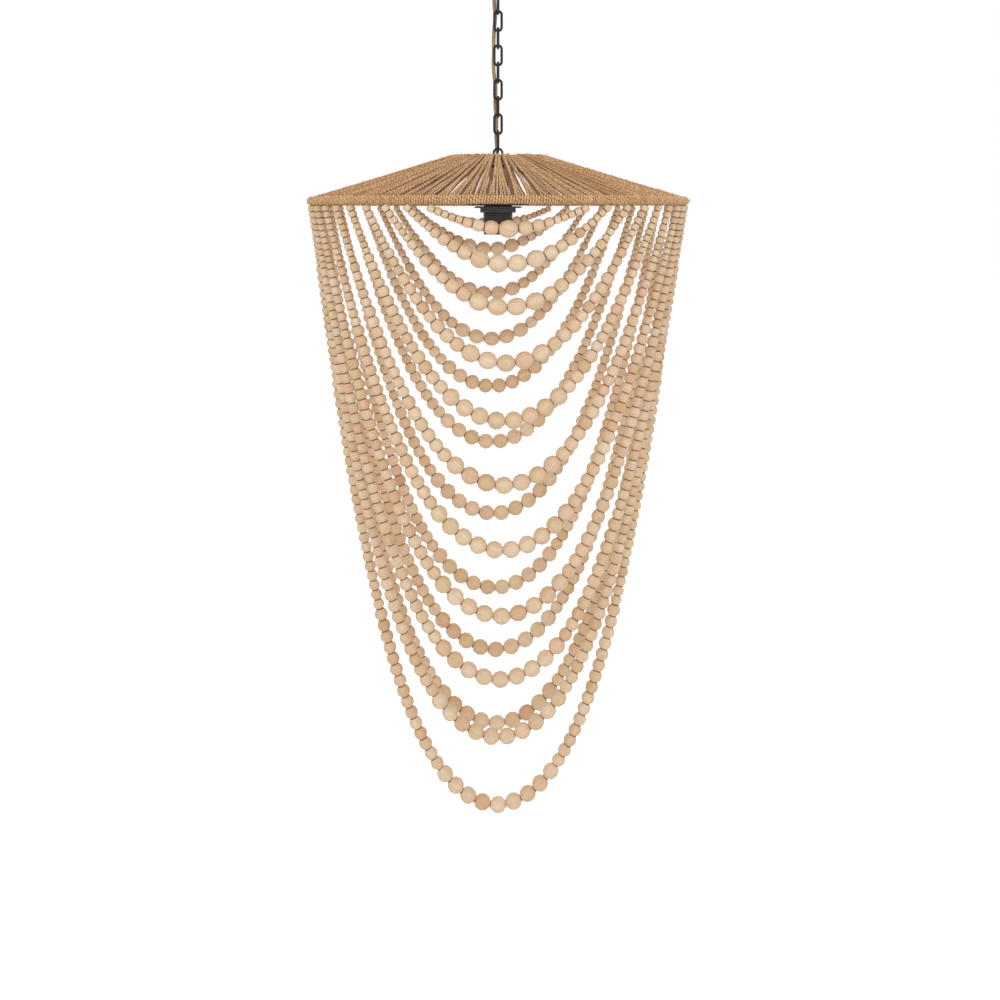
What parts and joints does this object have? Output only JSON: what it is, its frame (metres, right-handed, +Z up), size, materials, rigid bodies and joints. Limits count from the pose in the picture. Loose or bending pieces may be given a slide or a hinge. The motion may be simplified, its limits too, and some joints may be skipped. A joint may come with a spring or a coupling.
{
  "type": "beaded chandelier",
  "caption": "Hanging lamp: a shallow cone of jute cords on a wire frame, with strands of wooden beads draped in deep loops below its rim, on a chain and flex from a ceiling cup.",
  "frame": {"origin": "on the ceiling, at the centre of the mounting strap's upper face", "axes": "+Z up, +X to the right of someone in front, so the strands hang in planes along X"},
  "size_m": [0.5982, 0.5982, 1.3655],
  "materials": {
    "black_steel": "satin",
    "zinc_steel": "satin",
    "black_plastic": "matte",
    "brass": "satin",
    "jute": "matte",
    "flex_cotton": "matte",
    "bead_wood": "matte"
  },
  "bodies": {
    "ceiling_fitting": {"canopy": "black_steel", "mounting_strap": "zinc_steel", "cup_screw_right": "black_steel", "cup_screw_left": "black_steel", "terminal_block": "black_plastic", "canopy_nipple": "zinc_steel", "canopy_locknut": "zinc_steel", "canopy_loop": "black_steel"},
    "first_link": {"link_01": "black_steel"},
    "chain": {"link_02": "black_steel", "link_03": "black_steel", "link_04": "black_steel", "link_05": "black_steel", "link_06": "black_steel", "link_07": "black_steel", "link_08": "black_steel", "link_09": "black_steel", "supply_flex": "flex_cotton"},
    "last_link": {"link_10": "black_steel"},
    "shade": {"shade_loop": "black_steel", "stem": "black_steel", "hub_nut": "black_steel", "shade_frame": "black_steel", "jute_cone": "jute", "rim_wrap": "jute", "stem_nut": "black_steel", "gallery_plate": "black_steel", "lampholder_body": "black_plastic", "retaining_ring": "black_plastic", "screw_shell": "brass", "centre_contact": "brass"},
    "strand_front_01_beads": {"strand_front_01": "bead_wood"},
    "strand_front_02_beads": {"strand_front_02": "bead_wood"},
    "strand_front_03_beads": {"strand_front_03": "bead_wood"},
    "strand_front_04_beads": {"strand_front_04": "bead_wood"},
    "strand_front_05_beads": {"strand_front_05": "bead_wood"},
    "strand_front_06_beads": {"strand_front_06": "bead_wood"},
    "strand_front_07_beads": {"strand_front_07": "bead_wood"},
    "strand_front_08_beads": {"strand_front_08": "bead_wood"},
    "strand_front_09_beads": {"strand_front_09": "bead_wood"},
    "strand_front_10_beads": {"strand_front_10": "bead_wood"},
    "strand_middle_beads": {"strand_middle": "bead_wood"},
    "strand_back_10_beads": {"strand_back_10": "bead_wood"},
    "strand_back_09_beads": {"strand_back_09": "bead_wood"},
    "strand_back_08_beads": {"strand_back_08": "bead_wood"},
    "strand_back_07_beads": {"strand_back_07": "bead_wood"},
    "strand_back_06_beads": {"strand_back_06": "bead_wood"},
    "strand_back_05_beads": {"strand_back_05": "bead_wood"},
    "strand_back_04_beads": {"strand_back_04": "bead_wood"},
    "strand_back_03_beads": {"strand_back_03": "bead_wood"},
    "strand_back_02_beads": {"strand_back_02": "bead_wood"},
    "strand_back_01_beads": {"strand_back_01": "bead_wood"}
  },
  "joints": [
    {"name": "first_link_swing", "type": "hinge", "parent": "ceiling_fitting", "child": "first_link", "pos_m": [0, 0, -0.048], "axis": [0, 1, 0], "range_deg": [-10, 10]},
    {"name": "chain_swing", "type": "hinge", "parent": "first_link", "child": "chain", "pos_m": [0, 0, -0.0755], "axis": [1, 0, 0], "range_deg": [-10, 10], "deforming": ["supply_flex"]},
    {"name": "last_link_swing", "type": "hinge", "parent": "chain", "child": "last_link", "pos_m": [0, 0, -0.2935], "axis": [1, 0, 0], "range_deg": [-10, 10]},
    {"name": "shade_swing", "type": "hinge", "parent": "last_link", "child": "shade", "pos_m": [0, 0, -0.32075], "axis": [0, 1, 0], "range_deg": [-10, 10]},
    {"name": "strand_front_01_swing", "type": "hinge", "parent": "shade", "child": "strand_front_01_beads", "pos_m": [0, -0.27166, -0.40706], "axis": [1, 0, 0], "range_deg": [-10, 10]},
    {"name": "strand_front_02_swing", "type": "hinge", "parent": "shade", "child": "strand_front_02_beads", "pos_m": [0, -0.25676, -0.40706], "axis": [1, 0, 0], "range_deg": [-10, 10]},
    {"name": "strand_front_03_swing", "type": "hinge", "parent": "shade", "child": "strand_front_03_beads", "pos_m": [0, -0.23824, -0.40706], "axis": [1, 0, 0], "range_deg": [-10, 10]},
    {"name": "strand_front_04_swing", "type": "hinge", "parent": "shade", "child": "strand_front_04_beads", "pos_m": [0, -0.21637, -0.40706], "axis": [1, 0, 0], "range_deg": [-10, 10]},
    {"name": "strand_front_05_swing", "type": "hinge", "parent": "shade", "child": "strand_front_05_beads", "pos_m": [0, -0.19145, -0.40706], "axis": [1, 0, 0], "range_deg": [-10, 10]},
    {"name": "strand_front_06_swing", "type": "hinge", "parent": "shade", "child": "strand_front_06_beads", "pos_m": [0, -0.16384, -0.40706], "axis": [1, 0, 0], "range_deg": [-10, 10]},
    {"name": "strand_front_07_swing", "type": "hinge", "parent": "shade", "child": "strand_front_07_beads", "pos_m": [0, -0.13393, -0.40706], "axis": [1, 0, 0], "range_deg": [-10, 10]},
    {"name": "strand_front_08_swing", "type": "hinge", "parent": "shade", "child": "strand_front_08_beads", "pos_m": [0, -0.10213, -0.40706], "axis": [1, 0, 0], "range_deg": [-10, 10]},
    {"name": "strand_front_09_swing", "type": "hinge", "parent": "shade", "child": "strand_front_09_beads", "pos_m": [0, -0.0689, -0.40706], "axis": [1, 0, 0], "range_deg": [-10, 10]},
    {"name": "strand_front_10_swing", "type": "hinge", "parent": "shade", "child": "strand_front_10_beads", "pos_m": [0, -0.03469, -0.40706], "axis": [1, 0, 0], "range_deg": [-10, 10]},
    {"name": "strand_middle_swing", "type": "hinge", "parent": "shade", "child": "strand_middle_beads", "pos_m": [0, 0, -0.40706], "axis": [1, 0, 0], "range_deg": [-10, 10]},
    {"name": "strand_back_10_swing", "type": "hinge", "parent": "shade", "child": "strand_back_10_beads", "pos_m": [0, 0.03469, -0.40706], "axis": [1, 0, 0], "range_deg": [-10, 10]},
    {"name": "strand_back_09_swing", "type": "hinge", "parent": "shade", "child": "strand_back_09_beads", "pos_m": [0, 0.0689, -0.40706], "axis": [1, 0, 0], "range_deg": [-10, 10]},
    {"name": "strand_back_08_swing", "type": "hinge", "parent": "shade", "child": "strand_back_08_beads", "pos_m": [0, 0.10213, -0.40706], "axis": [1, 0, 0], "range_deg": [-10, 10]},
    {"name": "strand_back_07_swing", "type": "hinge", "parent": "shade", "child": "strand_back_07_beads", "pos_m": [0, 0.13393, -0.40706], "axis": [1, 0, 0], "range_deg": [-10, 10]},
    {"name": "strand_back_06_swing", "type": "hinge", "parent": "shade", "child": "strand_back_06_beads", "pos_m": [0, 0.16384, -0.40706], "axis": [1, 0, 0], "range_deg": [-10, 10]},
    {"name": "strand_back_05_swing", "type": "hinge", "parent": "shade", "child": "strand_back_05_beads", "pos_m": [0, 0.19145, -0.40706], "axis": [1, 0, 0], "range_deg": [-10, 10]},
    {"name": "strand_back_04_swing", "type": "hinge", "parent": "shade", "child": "strand_back_04_beads", "pos_m": [0, 0.21637, -0.40706], "axis": [1, 0, 0], "range_deg": [-10, 10]},
    {"name": "strand_back_03_swing", "type": "hinge", "parent": "shade", "child": "strand_back_03_beads", "pos_m": [0, 0.23824, -0.40706], "axis": [1, 0, 0], "range_deg": [-10, 10]},
    {"name": "strand_back_02_swing", "type": "hinge", "parent": "shade", "child": "strand_back_02_beads", "pos_m": [0, 0.25676, -0.40706], "axis": [1, 0, 0], "range_deg": [-10, 10]},
    {"name": "strand_back_01_swing", "type": "hinge", "parent": "shade", "child": "strand_back_01_beads", "pos_m": [0, 0.27166, -0.40706], "axis": [1, 0, 0], "range_deg": [-10, 10]}
  ],
  "couplings": [
    {"joint": "strand_front_01_swing", "follows": "strand_middle_swing", "ratio": 1},
    {"joint": "strand_front_02_swing", "follows": "strand_middle_swing", "ratio": 1},
    {"joint": "strand_front_03_swing", "follows": "strand_middle_swing", "ratio": 1},
    {"joint": "strand_front_04_swing", "follows": "strand_middle_swing", "ratio": 1},
    {"joint": "strand_front_05_swing", "follows": "strand_middle_swing", "ratio": 1},
    {"joint": "strand_front_06_swing", "follows": "strand_middle_swing", "ratio": 1},
    {"joint": "strand_front_07_swing", "follows": "strand_middle_swing", "ratio": 1},
    {"joint": "strand_front_08_swing", "follows": "strand_middle_swing", "ratio": 1},
    {"joint": "strand_front_09_swing", "follows": "strand_middle_swing", "ratio": 1},
    {"joint": "strand_front_10_swing", "follows": "strand_middle_swing", "ratio": 1},
    {"joint": "strand_back_10_swing", "follows": "strand_middle_swing", "ratio": 1},
    {"joint": "strand_back_09_swing", "follows": "strand_middle_swing", "ratio": 1},
    {"joint": "strand_back_08_swing", "follows": "strand_middle_swing", "ratio": 1},
    {"joint": "strand_back_07_swing", "follows": "strand_middle_swing", "ratio": 1},
    {"joint": "strand_back_06_swing", "follows": "strand_middle_swing", "ratio": 1},
    {"joint": "strand_back_05_swing", "follows": "strand_middle_swing", "ratio": 1},
    {"joint": "strand_back_04_swing", "follows": "strand_middle_swing", "ratio": 1},
    {"joint": "strand_back_03_swing", "follows": "strand_middle_swing", "ratio": 1},
    {"joint": "strand_back_02_swing", "follows": "strand_middle_swing", "ratio": 1},
    {"joint": "strand_back_01_swing", "follows": "strand_middle_swing", "ratio": 1}
  ]
}
